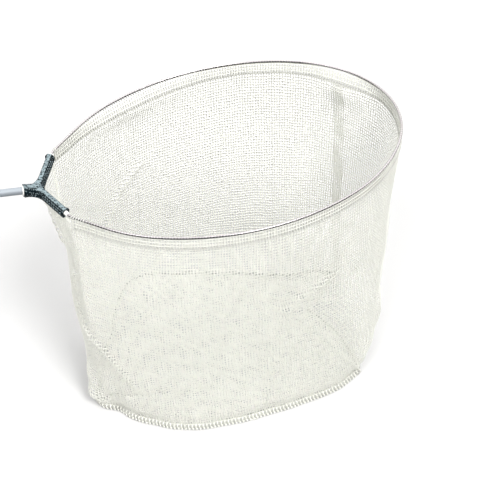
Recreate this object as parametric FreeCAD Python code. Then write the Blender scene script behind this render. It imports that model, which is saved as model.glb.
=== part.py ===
"""Deep-bag skimmer net on a telescopic pole.

The hoop lies level, its tip towards +X and its yoke towards -X, and the bag hangs along -Z.
The pole rises gently from the yoke towards the hand. All pieces are modelled around the hoop's
centre and moved at the end, so that the origin is the middle of the hand grip.
Sizes are in millimetres.
"""
import FreeCAD, Part
import math
import os

V = FreeCAD.Vector

# Hoop: one bent rod with both ends in the yoke
hoop_length = 700.0
hoop_width = 430.0
hoop_blunt = 0.0285      # how much wider the tip half is than the yoke half
rod_d = 5.0
rod_bend_r = 28.0        # where the rod leaves its ferrule
rod_straight = 37.0      # degrees of the oval, from its end, that the rod cuts off
hoop_steps = 8           # formula points along the oval

# Yoke: moulded Y that joins the two rod ends to the pole
arm_splay = 62.0         # degrees between an arm and the long axis
arm_mouth_inset = 11.0   # from the hoop's end to the arms' mouths
arm_mouth_y = 72.0
arm_width = 19.0         # along its lower edge; the sides lean in towards a narrow spine
arm_spine = 9.5
arm_height = 19.0
arm_corner_r = 3.0
arm_lip_r = 9.7          # turned lip round the mouth
arm_lip_length = 4.2
arm_lip_bevel = 0.8
arm_mouth_r = 6.3        # hollow round the ferrule
arm_mouth_depth = 5.0
crotch_r = 6.0
shoulder_r = 36.0        # between the back of an arm and the stem
stem_half_width = 9.0    # along the lower edge
pocket_pitch = 6.2
pocket_length = 4.4
pocket_depth = 1.5
pocket_count = 8
pocket_rows = 3
pocket_band = 17.4       # height of side wall that the pockets cover
pocket_rib = 1.5         # rib between the rows
pocket_start = 6.4       # first pocket, measured from the arm's mouth

# Socket of the yoke, along the pole's axis, which rises towards the hand
pole_rise = 9.0          # degrees
socket_mouth = 28.5      # from the pivot, where the axes of pole and arms meet
socket_bottom = -1.0
stem_r_mouth = 12.8
stem_r_waist = 11.2
stem_rim = 3.2
stem_bulge = 0.4         # how far the pole's screw seats below the waist
stem_nose = 11.0         # how far the stem reaches past its bore, into the arms
stem_nose_r = 6.2        # radius at the nose's end
stem_lip_step = 0.5      # bevel of the stem's mouth

# Ferrules on the rod ends, and the liner of the socket
ferrule_r = 4.6
ferrule_out = 7.0
ferrule_in = 30.0
ferrule_end_wall = 2.5
ferrule_bevel = 1.2
liner_wall = 1.2
liner_lip = 2.4
liner_lip_r = 9.9

# Screws from below
screw_r = 1.5
screw_head_r = 3.1
screw_head_h = 2.4
hoop_screw_at = 16.0     # from the arm's mouth
pole_screw_at = 14.0     # from the pivot
screw_past_tube = 2.5
screw_bevel = 0.6
screw_point = 0.3        # radius of the tip's end
drive_r = 1.3            # cross recess in the head
drive_w = 0.7
drive_depth = 1.2

# Pole: inner tube, outer tube and twist lock
inner_d = 15.0
inner_wall = 1.0
outer_d = 18.0
outer_wall = 1.2
bare_inner = 90.0        # inner tube that shows when the pole is pushed in
outer_length = 640.0
inner_end_gap = 60.0     # from the inner tube's end to the outer tube's end
glide_length = 26.0
glide_head = 12.0
collet_nose = 24.0
collet_sleeve = 22.0
collet_wall = 1.7
collet_taper = 0.9
collet_shoulder = 2.0    # ledge between the nose and the sleeve
collet_swell = 0.6       # how much the nose thickens towards the sleeve
collet_slit = 1.2
collet_slit_length = 18.0
collet_slits = 4
collar_overlap = 4.0     # collar past the collet's nose
collar_length = 40.0
collar_wall = 3.0
collar_ribs = 14
collar_rib_r = 0.8
collar_rib_margin = 4.5  # collar past each end of its ribs
collar_mouth = 2.5       # thickness of the collar's front wall
collar_bevel = 3.0
collar_draft = 0.8       # how much the collar narrows towards its front
collar_back_bevel = 1.2

# Hand grip and end cap
grip_length = 124.0
grip_wall = 3.4
grip_grooves = 7
grip_groove_w = 5.0
grip_groove_depth = 1.0
grip_from_end = 2.0
grip_margin = 8.0        # plain sleeve at each end of the grooves
grip_bevel = 1.4
grip_groove_side = 1.0   # slope of a groove's side, along the grip
cap_plug = 16.0
cap_flange = 4.0
cap_step = 0.4           # cap narrower than the grip
cap_bevel = 2.0
tongue_length = 24.0
tongue_width = 17.0
tongue_thick = 5.0
hang_hole_r = 4.0

# Bag
hem_depth = 33.0
hem_thick = 2.4
hem_from_mouth = 14.0    # from an arm's mouth to the hem's end
bag_depth = 700.0
net_thick = 1.2
foot_length = 672.0
foot_width = 428.0
foot_square = 0.16       # how far the foot's corners stand out of an oval
gusset_gap = 1.0         # under the yoke
side_seam_width = 22.0
side_seam_thick = 1.2
side_seam_angle = 38.0   # degrees round the bag from the tip, on the far side
foot_seam_height = 14.0
foot_seam_thick = 4.0
foot_seam_rise = 2.0     # foot panel above the bag's lowest edge
bag_swell = 8.0          # bulge at half height
mesh_columns = 20        # openings round the wall
mesh_rows = 7            # openings down the wall
mesh_bar = 30.0          # netting between two openings
wall_levels = 2
outline_points = 24
thread_up = 3.2          # stitching above the hem's lower edge
thread_high = 1.6
thread_thick = 0.7

# Clearances
snug = 0.05              # pieces pressed or screwed together
slide = 0.1              # pieces that slide in each other
loose = 0.3              # pieces that pass each other
touch = 0.3              # soft pieces beside hard ones

rod_r = rod_d / 2
inner_r = inner_d / 2
outer_r = outer_d / 2
outer_bore_r = outer_r - outer_wall
splay = math.radians(arm_splay)
rise = math.radians(pole_rise)
rod_join_t = math.pi - math.radians(rod_straight)
arm_dir = V(math.cos(splay), math.sin(splay), 0)
arm_side = V(-math.sin(splay), math.cos(splay), 0)
arm_mouth = V(arm_mouth_inset - hoop_length / 2, arm_mouth_y, 0)
pole_dir = V(-math.cos(rise), 0, math.sin(rise))
pivot = V(arm_mouth.x - arm_mouth_y / math.tan(splay), 0, 0)

# Places along the pole's axis, from the pivot towards the hand
inner_start = socket_bottom + 1.0
collar_start = socket_mouth + bare_inner
collet_start = collar_start + collar_overlap
outer_start = collet_start + collet_nose
outer_end = outer_start + outer_length
inner_end = outer_end - inner_end_gap
grip_end = outer_end - grip_from_end
grip_start = grip_end - grip_length
grip_r = outer_r + grip_wall
collet_ledge = outer_start - collet_shoulder
collet_nose_r = inner_r + collet_wall - collet_taper
collet_root_r = inner_r + collet_wall + collet_swell
sleeve_r = outer_r + collet_wall
origin = pivot + pole_dir * ((grip_start + grip_end) / 2)

# Farthest that the wall strays from under the rod
mesh_reach = abs(foot_length - hoop_length) / 2 + foot_square * foot_length / 2 + bag_swell


def oval(length, width, blunt, square, t):
    """Point of the bag's or hoop's outline at the angle t from the tip."""
    c, s = math.cos(t), math.sin(t)
    x = length / 2 * c * (1 + square * s * s)
    y = width / 2 * s * (1 + square * c * c) * (1 + blunt * c)
    return V(x, y, 0)


def rim(t):
    """Point of the bag's upper outline, which runs under the rod and on under the yoke."""
    p = oval(hoop_length, hoop_width, hoop_blunt, 0, t)
    join = oval(hoop_length, hoop_width, hoop_blunt, 0, rod_join_t)
    out = abs(p.y)
    if p.x > 0 or out > join.y:
        return p
    end = arm_mouth + arm_dir * (ferrule_out / 2)
    if out > end.y:
        x = end.x + (join.x - end.x) * (out - end.y) / (join.y - end.y)
    else:
        x = end.x - (hoop_length / 2 + end.x) * (1 - (out / end.y) ** 2)
    return V(x, p.y, 0)


def bag_points(level, inset, z):
    """Points round the bag at a level from 0 at the rim to 1 at the foot."""
    points = []
    for i in range(outline_points):
        t = 2 * math.pi * i / outline_points
        foot = oval(foot_length, foot_width, 0, foot_square, t)
        p = rim(t) * (1 - level) + foot * level
        out = V(math.cos(t) / hoop_length, math.sin(t) / hoop_width, 0).normalize()
        p += out * (bag_swell * math.sin(math.pi * level) - inset)
        points.append(p + V(0, 0, z))
    return points


def smooth_outline(level, inset, z):
    """The bag's outline as one closed curve."""
    curve = Part.BSplineCurve()
    curve.interpolate(Points=bag_points(level, inset, z), PeriodicFlag=True)
    return Part.Wire(curve.toShape())


def arc_outline(level, inset, z):
    """The bag's outline in tangent arcs."""
    p = bag_points(level, inset, z)
    count = len(p)
    ways = [(p[(i + 1) % count] - p[i - 1]).normalize() for i in range(count)]
    edges = []
    for i in range(count):
        edges += biarc(p[i - 1], ways[i - 1], p[i], ways[i])
    return Part.Wire(edges)


def oval_tangent(t):
    """Unit direction along the hoop towards the tip, on the far side."""
    step = 1e-4
    before = oval(hoop_length, hoop_width, hoop_blunt, 0, t + step)
    after = oval(hoop_length, hoop_width, hoop_blunt, 0, t - step)
    return (after - before).normalize()


def biarc(p0, d0, p1, d1):
    """Two tangent arcs from p0, leaving along d0, to p1, arriving along d1."""
    v = p1 - p0
    both = d0 + d1
    m = v.dot(both)
    reach = v.dot(v) / (m + math.sqrt(m * m - (both.dot(both) - 4) * v.dot(v)))
    q0 = p0 + d0 * reach
    q1 = p1 - d1 * reach
    joint = (q0 + q1) * 0.5
    return [arc_from(p0, d0, joint), arc_from(joint, (q1 - q0).normalize(), p1)]


def arc_from(p0, d0, p1):
    """Arc from p0, leaving along d0, to p1."""
    chord = p1 - p0
    half = chord.getAngle(d0) / 2
    if half < 1e-5:
        return Part.makeLine(p0, p1)
    normal = d0.cross(chord).normalize()
    middle_dir = FreeCAD.Rotation(normal, math.degrees(half)).multVec(d0)
    middle = p0 + middle_dir * (chord.Length / 2 / math.cos(half))
    return Part.Arc(p0, middle, p1).toShape()


def mirrored(shape):
    return shape.mirror(V(0, 0, 0), V(0, 1, 0))


def rod_half_edges():
    """Edges of the rod's axis from the far arm's mouth to the tip."""
    join = oval(hoop_length, hoop_width, hoop_blunt, 0, rod_join_t)
    bend = arm_mouth + arm_dir * ferrule_out
    leave = (join - bend).normalize()
    reach = rod_bend_r * math.tan(arm_dir.getAngle(leave) / 2)
    bend_end = bend + (arm_dir + leave) * reach
    edges = [Part.makeLine(arm_mouth, bend), arc_from(bend, arm_dir, bend_end)]
    points = [bend_end]
    tangents = [leave]
    for i in range(hoop_steps // 2 + 1):
        t = rod_join_t * (1 - i / (hoop_steps // 2))
        points.append(oval(hoop_length, hoop_width, hoop_blunt, 0, t))
        tangents.append(oval_tangent(t))
    tangents[-1] = V(0, -1, 0)
    for i in range(len(points) - 1):
        edges += biarc(points[i], tangents[i], points[i + 1], tangents[i + 1])
    return edges


def on_both_sides(edges):
    """Wire from the far side over the tip to the near side."""
    return Part.Wire(Part.__sortEdges__(edges + [mirrored(e) for e in edges]))


def hoop_rod():
    end = arm_mouth - arm_dir * (ferrule_in - ferrule_end_wall - snug)
    edges = [Part.makeLine(end, arm_mouth)] + rod_half_edges()
    path = on_both_sides(edges)
    circle = Part.Wire(Part.makeCircle(rod_r, end, arm_dir))
    return path.makePipeShell([circle], True, False)


def along_arm(distance):
    """Point on the far arm's axis, measured inwards from its mouth."""
    return arm_mouth - arm_dir * distance


def arm_cylinder(radius, start, end):
    return Part.makeCylinder(radius, end - start, along_arm(start), arm_dir * -1)


def arm_box(start, end, side_from, side_to, low, high):
    """Block beside the far arm's axis."""
    corners = []
    for s, w in ((start, side_from), (end, side_from), (end, side_to), (start, side_to)):
        corners.append(along_arm(s) + arm_side * w + V(0, 0, low))
    face = Part.Face(Part.makePolygon(corners + [corners[0]]))
    return face.extrude(V(0, 0, high - low))


def corner_arc(before, corner, after, radius):
    """Ends and middle of the arc that rounds a corner in plan."""
    d0 = (before - corner).normalize()
    d1 = (after - corner).normalize()
    half = d0.getAngle(d1) / 2
    reach = radius / math.tan(half)
    centre = corner + (d0 + d1).normalize() * (radius / math.sin(half))
    middle = centre + (corner - centre).normalize() * radius
    return corner + d0 * reach, middle, corner + d1 * reach


def fork_outline(width, z):
    """Plan of the two arms and the root of the stem, with rounded crotch and shoulders."""
    half = width / 2
    root_y = stem_half_width * width / arm_width
    inner = arm_mouth - arm_side * half
    outer = arm_mouth + arm_side * half
    crotch = V(pivot.x + half / math.sin(splay), 0, 0)
    shoulder = outer + arm_dir * ((root_y - outer.y) / arm_dir.y)
    root_way = V(shoulder.x - stem_nose, root_y, 0)
    s0, s1, s2 = corner_arc(outer, shoulder, root_way, shoulder_r)
    c0, c1, c2 = corner_arc(inner, crotch, V(inner.x, -inner.y, 0), crotch_r)
    edges = [Part.makeLine(outer, inner), Part.makeLine(inner, c0)]
    edges += [Part.makeLine(outer, s0), Part.Arc(s0, s1, s2).toShape()]
    edges += [mirrored(e) for e in edges]
    edges.append(Part.Arc(c0, c1, c2).toShape())
    edges.append(Part.makeLine(s2, V(s2.x, -s2.y, 0)))
    wire = Part.Wire(Part.__sortEdges__(edges))
    wire.translate(V(0, 0, z))
    return wire


def fork_solid():
    """Both arms in one piece, wide below and rounded along their spines."""
    low = fork_outline(arm_width, -arm_height / 2)
    high = fork_outline(arm_spine, arm_height / 2)
    block = Part.makeLoft([low, high], True, True)
    mouth = arm_mouth.dot(arm_dir)
    root_x = min(v.X for v in block.Vertexes if v.Z > 0)
    long_edges = []
    for e in block.Edges:
        middle = e.CenterOfMass
        at_mouth = abs(V(middle.x, abs(middle.y), 0).dot(arm_dir) - mouth) < 0.01
        if e.BoundBox.ZLength < 0.01 and not at_mouth and middle.x > root_x + 0.01:
            long_edges.append(e)
    return block.makeFillet(arm_corner_r, long_edges)


def arm_lip():
    """Turned lip round the far arm's mouth."""
    lip = arm_cylinder(arm_lip_r, 0, arm_lip_length)
    rims = [e for e in lip.Edges if e.Closed]
    return lip.makeChamfer(arm_lip_bevel, rims)


def along_pole(distance):
    return pivot + pole_dir * distance


def pole_cylinder(radius, start, end):
    return Part.makeCylinder(radius, end - start, along_pole(start), pole_dir)


def pole_ring(radius, bore, start, end):
    return pole_cylinder(radius, start, end).cut(pole_cylinder(bore, start - 1, end + 1))


def pole_revolve(profile):
    """Turned body from (distance, radius) points, closed along the pole's axis."""
    side = V(math.sin(rise), 0, math.cos(rise))
    points = [along_pole(d) + side * r for d, r in profile]
    points += [along_pole(profile[-1][0]), along_pole(profile[0][0])]
    face = Part.Face(Part.makePolygon(points + [points[0]]))
    return face.revolve(pivot, pole_dir, 360)


def stem_solid():
    profile = [
        (socket_bottom - stem_nose, stem_nose_r),
        (socket_bottom - stem_nose / 2, (stem_nose_r + 2 * stem_r_waist) / 3),
        (socket_bottom, stem_r_waist),
        (socket_mouth / 3, stem_r_waist),
        (socket_mouth - stem_rim, stem_r_mouth - stem_lip_step),
        (socket_mouth - stem_rim / 2, stem_r_mouth),
        (socket_mouth, stem_r_mouth),
    ]
    return pole_revolve(profile)


def pocket_cutters():
    """Blind pockets in both sides of the far arm, in rows between ribs."""
    cutters = []
    row_height = (pocket_band - pocket_rib * (pocket_rows - 1)) / pocket_rows
    for i in range(pocket_count):
        start = pocket_start + i * pocket_pitch
        for row in range(pocket_rows):
            low = -pocket_band / 2 + row * (row_height + pocket_rib)
            share = (low + row_height / 2) / arm_height + 0.5
            half = (arm_width + (arm_spine - arm_width) * share) / 2
            for side in (-1, 1):
                inner, outer = side * (half - pocket_depth), side * (half + arm_corner_r)
                cutters.append(arm_box(start, start + pocket_length, inner, outer, low, low + row_height))
    return cutters


def arm_mouth_cutters():
    """Hollow mouth and ferrule bore of the far arm."""
    hollow = arm_cylinder(arm_mouth_r, -1, arm_mouth_depth)
    return [hollow, arm_cylinder(ferrule_r + snug, -1, ferrule_in + snug)]


def hoop_screw_place():
    return along_arm(hoop_screw_at) - V(0, 0, arm_height / 2)


def screw(tip_length):
    """Pan screw with its head's face at the origin, pointing up."""
    head = Part.makeCylinder(screw_head_r, screw_head_h)
    edges = [e for e in head.Edges if abs(e.BoundBox.ZMax) < 1e-6]
    head = head.makeChamfer(screw_bevel, edges)
    shank = Part.makeCylinder(screw_r, tip_length, V(0, 0, screw_head_h))
    tip = Part.makeCone(screw_r, screw_point, screw_r, V(0, 0, screw_head_h + tip_length))
    drive = Part.makeBox(2 * drive_r, drive_w, drive_depth, V(-drive_r, -drive_w / 2, 0))
    cross = Part.makeBox(drive_w, 2 * drive_r, drive_depth, V(-drive_w / 2, -drive_r, 0))
    return head.fuse([shank, tip]).cut(drive.fuse(cross))


def screw_hole(length):
    hole = Part.makeCylinder(screw_r + snug, length, V(0, 0, -1))
    recess = Part.makeCylinder(screw_head_r + loose, screw_head_h + 1, V(0, 0, -1))
    return hole.fuse(recess)


def yoke():
    """Moulded Y with its sockets, pockets and screw holes."""
    lip = arm_lip()
    body = fork_solid().fuse([lip, mirrored(lip), stem_solid()]).removeSplitter()
    cutters = pocket_cutters() + arm_mouth_cutters()
    hole = screw_hole(arm_height / 2)
    hole.translate(hoop_screw_place())
    cutters.append(hole)
    cutters += [mirrored(c) for c in cutters]
    cutters.append(pole_cylinder(inner_r + liner_wall + snug, socket_bottom, socket_mouth + 1))
    cutters.append(on_pole_underside(screw_hole(stem_r_mouth)))
    return body.cut(cutters).removeSplitter()


def on_pole_underside(shape):
    """Turn a screw-shaped piece so that it enters the stem squarely from below."""
    shape.rotate(V(0, 0, 0), V(0, 1, 0), pole_rise)
    down = V(-math.sin(rise), 0, -math.cos(rise))
    shape.translate(along_pole(pole_screw_at) + down * (stem_r_waist + stem_bulge))
    return shape


def hoop_screws():
    length = arm_height / 2 - ferrule_r - snug - screw_head_h - screw_r
    one = screw(length)
    one.translate(hoop_screw_place())
    return Part.makeCompound([one, mirrored(one)])


def pole_screw():
    length = stem_r_waist + stem_bulge - screw_head_h - inner_r + inner_wall + screw_past_tube
    return on_pole_underside(screw(length))


def ferrule():
    """Cap that covers the far end of the rod and seats in the arm."""
    body = arm_cylinder(ferrule_r, -ferrule_out, ferrule_in)
    mouth = along_arm(-ferrule_out)
    mouth_edges = [e for e in body.Edges if e.Closed
                   and e.BoundBox.Center.distanceToPoint(mouth) < snug]
    body = body.makeChamfer(ferrule_bevel, mouth_edges)
    bore = arm_cylinder(rod_r + snug, -ferrule_out - 1, ferrule_in - ferrule_end_wall)
    return body.cut(bore)


def socket_liner():
    body = pole_ring(inner_r + liner_wall, inner_r + snug, socket_bottom + snug, socket_mouth)
    lip = pole_ring(liner_lip_r, inner_r + snug, socket_mouth, socket_mouth + liner_lip)
    return body.fuse(lip).removeSplitter().cut(on_pole_underside(screw_hole(stem_r_mouth)))


def inner_tube():
    tube = pole_ring(inner_r, inner_r - inner_wall, inner_start, inner_end)
    return tube.cut(on_pole_underside(screw_hole(stem_r_mouth)))


def glide_plug():
    """Plug in the inner tube's end that runs in the outer tube."""
    plug = pole_cylinder(inner_r - inner_wall - snug, inner_end - glide_length + glide_head, inner_end)
    head = pole_cylinder(outer_bore_r - slide, inner_end, inner_end + glide_head)
    return plug.fuse(head).removeSplitter()


def outer_tube():
    return pole_ring(outer_r, outer_bore_r, outer_start, outer_end)


def lock_collet():
    """Split nose that the collar squeezes on the inner tube."""
    profile = [
        (collet_start, collet_nose_r),
        (collet_ledge, collet_root_r),
        (collet_ledge, sleeve_r),
        (outer_start + collet_sleeve, sleeve_r),
    ]
    body = pole_revolve(profile)
    body = body.cut(pole_cylinder(outer_r + snug, outer_start, outer_start + collet_sleeve + 1))
    body = body.cut(pole_cylinder(inner_r + slide, collet_start - 1, outer_start + 1))
    slits = []
    for i in range(collet_slits):
        slit = Part.makeBox(collet_slit_length, outer_d, collet_slit, V(0, 0, -collet_slit / 2))
        slit.rotate(V(0, 0, 0), V(1, 0, 0), 45 + 360 * i / collet_slits)
        slit.rotate(V(0, 0, 0), V(0, 1, 0), 180 + pole_rise)
        slit.translate(along_pole(collet_start - 1))
        slits.append(slit)
    return body.cut(slits)


def lock_collar():
    """Ribbed nut that turns on the collet."""
    bore_r = sleeve_r + loose
    outside = bore_r + collar_wall
    end = collar_start + collar_length
    profile = [
        (collar_start, outside - collar_bevel),
        (collar_start + collar_bevel, outside - collar_draft),
        (end - collar_back_bevel, outside),
        (end, outside - collar_back_bevel),
    ]
    body = pole_revolve(profile)
    ribs = []
    rib_length = collar_length - 2 * collar_rib_margin
    rib_from = V(collar_rib_margin, 0, outside - collar_draft / 2)
    for i in range(collar_ribs):
        rib = Part.makeCylinder(collar_rib_r, rib_length, rib_from, V(1, 0, 0))
        rib.rotate(V(0, 0, 0), V(1, 0, 0), 360 * i / collar_ribs)
        rib.rotate(V(0, 0, 0), V(0, 1, 0), 180 + pole_rise)
        rib.translate(along_pole(collar_start))
        ribs.append(rib)
    body = body.fuse(ribs)
    nose = [
        (collar_start + collar_mouth, collet_nose_r + loose),
        (collet_start, collet_nose_r + loose),
        (collet_ledge - loose, collet_root_r + loose),
        (collet_ledge - loose, bore_r),
        (end + 1, bore_r),
    ]
    body = body.cut(pole_revolve(nose))
    return body.cut(pole_cylinder(inner_r + loose, collar_start - 1, collet_start)).removeSplitter()


def hand_grip():
    """Soft sleeve with rings for the fingers."""
    step = (grip_length - 2 * grip_margin) / grip_grooves
    profile = [(grip_start, grip_r - grip_bevel), (grip_start + grip_bevel, grip_r)]
    for i in range(grip_grooves):
        low = grip_start + grip_margin + step * (i + 0.5) - grip_groove_w / 2
        high = low + grip_groove_w
        profile.append((low, grip_r))
        profile.append((low + grip_groove_side, grip_r - grip_groove_depth))
        profile.append((high - grip_groove_side, grip_r - grip_groove_depth))
        profile.append((high, grip_r))
    profile += [(grip_end - grip_bevel, grip_r), (grip_end, grip_r - grip_bevel)]
    return pole_revolve(profile).cut(pole_cylinder(outer_r + snug, grip_start - 1, grip_end + 1))


def tongue_hole_at():
    return outer_end + cap_flange + tongue_length - tongue_width / 2


def end_cap():
    """Cap with a tongue to hang the pole by."""
    plug = pole_cylinder(outer_bore_r - snug, outer_end - cap_plug, outer_end)
    flange = pole_revolve([
        (outer_end, grip_r - cap_step),
        (outer_end + cap_flange - cap_bevel, grip_r - cap_step),
        (outer_end + cap_flange, grip_r - cap_step - cap_bevel),
    ])
    reach = tongue_length - tongue_width / 2 + cap_flange - 1
    half = tongue_thick / 2
    bar = Part.makeBox(reach, tongue_thick, tongue_width, V(0, -half, -tongue_width / 2))
    eye = Part.makeCylinder(tongue_width / 2, tongue_thick, V(reach, -half, 0), V(0, 1, 0))
    tongue = bar.fuse(eye).removeSplitter()
    tongue.rotate(V(0, 0, 0), V(0, 1, 0), 180 + pole_rise)
    tongue.translate(along_pole(tongue_hole_at() - reach))
    hole = Part.makeCylinder(hang_hole_r, 3 * tongue_thick, along_pole(tongue_hole_at())
                             - V(0, 1.5 * tongue_thick, 0), V(0, 1, 0))
    return plug.fuse([flange, tongue]).removeSplitter().cut(hole)


def bag_height(level):
    """Height of the wall at a level: the hem's lower edge at 0, the foot seam at 1."""
    return -hem_depth + (hem_depth + foot_seam_height - bag_depth) * level


def bag_loft(inset):
    levels = [i / wall_levels for i in range(wall_levels + 1)]
    return Part.makeLoft([smooth_outline(u, inset, bag_height(u)) for u in levels], True, False)


def ring(level, thick, low, high, outline=arc_outline):
    """Band round the bag, centred on the wall, between two heights."""
    outside = Part.Face(outline(level, (net_thick - thick) / 2, low))
    inside = Part.Face(outline(level, (net_thick + thick) / 2, low))
    return outside.cut(inside).extrude(V(0, 0, high - low))


def yoke_window(low, high):
    """Block that spans the yoke and the arms' mouths."""
    end = arm_mouth + arm_dir * hem_from_mouth
    back = end.x + hoop_length / 2 + 2 * arm_width
    return Part.makeBox(back, 2 * end.y, high - low, V(end.x - back, -end.y, low))


def net_hem():
    """Double layer under the rod, from one arm's mouth to the other's."""
    top = -rod_r - touch
    return ring(0, hem_thick, -hem_depth, top).cut(yoke_window(-hem_depth - 1, top + 1))


def hem_thread():
    """Lines of stitching on both faces of the hem, above its lower edge."""
    low = -hem_depth + thread_up
    high = low + thread_high
    whole = ring(0, hem_thick + 2 * thread_thick, low, high)
    lines = whole.cut(ring(0, hem_thick, low - 1, high + 1))
    return lines.cut(yoke_window(low - 1, high + 1))


def mesh_openings():
    """Blocks through the wall, one for each opening of the mesh."""
    step = (bag_depth - hem_depth - foot_seam_height) / mesh_rows
    high = step - mesh_bar
    blocks = []
    for i in range(mesh_columns):
        t = 2 * math.pi * (i + 0.5) / mesh_columns
        span = (rim(t + math.pi / mesh_columns) - rim(t - math.pi / mesh_columns)).Length
        wide = span - mesh_bar
        turn = math.degrees(math.atan2(math.sin(t) / hoop_width, math.cos(t) / hoop_length))
        for j in range(mesh_rows):
            low = -hem_depth - step * (j + 0.5) - high / 2
            block = Part.makeBox(2 * mesh_reach, wide, high, V(-mesh_reach, -wide / 2, low))
            block.rotate(V(0, 0, 0), V(0, 0, 1), turn)
            block.translate(rim(t))
            blocks.append(block)
    return blocks


def net_wall():
    """Bag wall as an open mesh, with the short stretch that closes it under the yoke."""
    wall = bag_loft(0).cut(bag_loft(net_thick)).cut(mesh_openings())
    top = -arm_lip_r - gusset_gap
    closing = ring(0, net_thick, -hem_depth, top, smooth_outline)
    closing = closing.common(yoke_window(-hem_depth, top))
    return wall.fuse(closing).removeSplitter()


def side_seam():
    """Lapped joint of the netting, inside the far wall."""
    face = net_thick + touch
    lining = bag_loft(face).cut(bag_loft(face + side_seam_thick))
    at = rim(math.radians(side_seam_angle))
    half = side_seam_width / 2
    strip = Part.makeBox(side_seam_width, at.y, bag_depth, V(at.x - half, at.y / 2, -bag_depth))
    return lining.common(strip)


def foot_seam():
    """Gathered band where the wall meets the foot panel."""
    return ring(1, foot_seam_thick, -bag_depth, -bag_depth + foot_seam_height)


def foot_panel():
    inset = (net_thick + foot_seam_thick) / 2
    face = Part.Face(arc_outline(1, inset, -bag_depth + foot_seam_rise))
    return face.extrude(V(0, 0, net_thick))


pieces = {
    "hoop_rod": hoop_rod,
    "yoke": yoke,
    "far_ferrule": ferrule,
    "near_ferrule": lambda: mirrored(ferrule()),
    "hoop_screws": hoop_screws,
    "pole_screw": pole_screw,
    "socket_liner": socket_liner,
    "inner_tube": inner_tube,
    "glide_plug": glide_plug,
    "outer_tube": outer_tube,
    "lock_collet": lock_collet,
    "lock_collar": lock_collar,
    "hand_grip": hand_grip,
    "end_cap": end_cap,
    "net_hem": net_hem,
    "hem_thread": hem_thread,
    "net_wall": net_wall,
    "side_seam": side_seam,
    "foot_seam": foot_seam,
    "foot_panel": foot_panel,
}

os.makedirs("parts", exist_ok=True)
for name, make in pieces.items():
    shape = make()
    shape.translate(origin * -1)
    shape.exportStep("parts/" + name + ".step")
    print(name, "solids", len(shape.Solids), "valid", shape.isValid(), "volume", round(shape.Volume))

hole = along_pole(tongue_hole_at()) - origin
print("hoop centre", [round(v, 3) for v in (origin * -1)])
print("hang hole", [round(v, 3) for v in hole], "pole axis", [round(v, 5) for v in pole_dir])
print("places along the pole", collar_start, outer_start, outer_end, inner_end, grip_start, grip_end)
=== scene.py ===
import math

import bpy
import numpy as np
from bpy.props import FloatProperty, FloatVectorProperty, IntProperty, PointerProperty
from mathutils import Matrix, Vector


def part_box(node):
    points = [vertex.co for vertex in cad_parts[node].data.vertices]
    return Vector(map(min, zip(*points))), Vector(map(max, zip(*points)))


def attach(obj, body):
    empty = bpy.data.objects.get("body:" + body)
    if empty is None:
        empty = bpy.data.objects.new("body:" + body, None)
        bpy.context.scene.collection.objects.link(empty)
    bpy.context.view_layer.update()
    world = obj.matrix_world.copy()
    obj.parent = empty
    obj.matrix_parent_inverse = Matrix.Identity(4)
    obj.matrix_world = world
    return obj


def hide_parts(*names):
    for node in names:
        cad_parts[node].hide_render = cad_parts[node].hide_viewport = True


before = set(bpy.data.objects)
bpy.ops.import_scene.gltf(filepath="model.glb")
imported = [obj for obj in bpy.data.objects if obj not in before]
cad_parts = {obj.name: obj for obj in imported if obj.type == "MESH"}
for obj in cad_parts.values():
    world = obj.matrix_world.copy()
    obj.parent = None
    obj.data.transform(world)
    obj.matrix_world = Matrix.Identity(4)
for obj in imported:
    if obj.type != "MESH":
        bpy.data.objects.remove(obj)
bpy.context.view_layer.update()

bl_info = {
    "name": "Deep-bag Skimmer Net",
    "version": (1, 0, 0),
    "blender": (4, 5, 0),
    "location": "3D View > Sidebar > Skimmer",
    "description": "Netting, seams, finishes and studio for a skimmer net with a telescopic pole",
    "category": "Object",
}

HEAD = "head"
WALL_PANELS = 6
UP = np.array([0, 0, 1.0])


def length(name, description, default):
    """Property for a size in metres."""
    return FloatProperty(name=name, description=description, default=default, min=0,
                         subtype="DISTANCE", unit="LENGTH", precision=4)


def paint(name, description, default):
    """Property for a colour."""
    return FloatVectorProperty(name=name, description=description, default=default, size=3,
                               min=0, max=1, subtype="COLOR")


class SkimmerSizes(bpy.types.PropertyGroup):
    """Sizes of the hoop, the bag and its thread."""

    hoop_length: length("Hoop length", "Along the pole, between the middles of the rod", 0.700)
    hoop_width: length("Hoop width", "Across the pole, between the middles of the rod", 0.430)
    hoop_blunt: FloatProperty(name="Hoop bluntness", description="How much wider the tip half is",
                              default=0.0285)
    rod_width: length("Rod", "Thickness of the hoop's rod", 0.005)
    mouth_inset: length("Arm mouth inset", "From the hoop's end to where the rod bends off", 0.0172)
    mouth_side: length("Arm mouth offset", "From the long axis to where the rod bends off", 0.0836)
    bag_depth: length("Bag depth", "From the rod to the foot", 0.700)
    foot_length: length("Foot length", "Long way across the foot", 0.672)
    foot_width: length("Foot width", "Short way across the foot", 0.428)
    foot_square: FloatProperty(name="Foot squareness", description="How far its corners stand out",
                               default=0.16)
    pitch: length("Mesh width", "From one upright thread to the next", 0.0056)
    pitch_down: length("Mesh height", "From one round of thread to the next down the wall", 0.0084)
    thread: length("Thread width", "Flat width of a knitted thread", 0.0030)
    thread_deep: length("Thread depth", "Thickness of a knitted thread", 0.0009)
    hem_depth: length("Hem", "From the rod's middle to the hem's lower edge", 0.033)
    throat_top: length("Throat", "From the rod's middle to the netting under the yoke", 0.0115)
    whipping: length("Whipping", "Length of the thread wound on the rod at the near mouth", 0.030)
    seam_height: length("Foot seam", "Height of the gathered band", 0.014)
    seam_rib: length("Seam rib", "From one gather to the next", 0.0082)
    lap_width: length("Side seam", "Width of the lapped netting", 0.022)
    seed: IntProperty(name="Seed", description="Start of the uneven weave", default=7)


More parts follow.
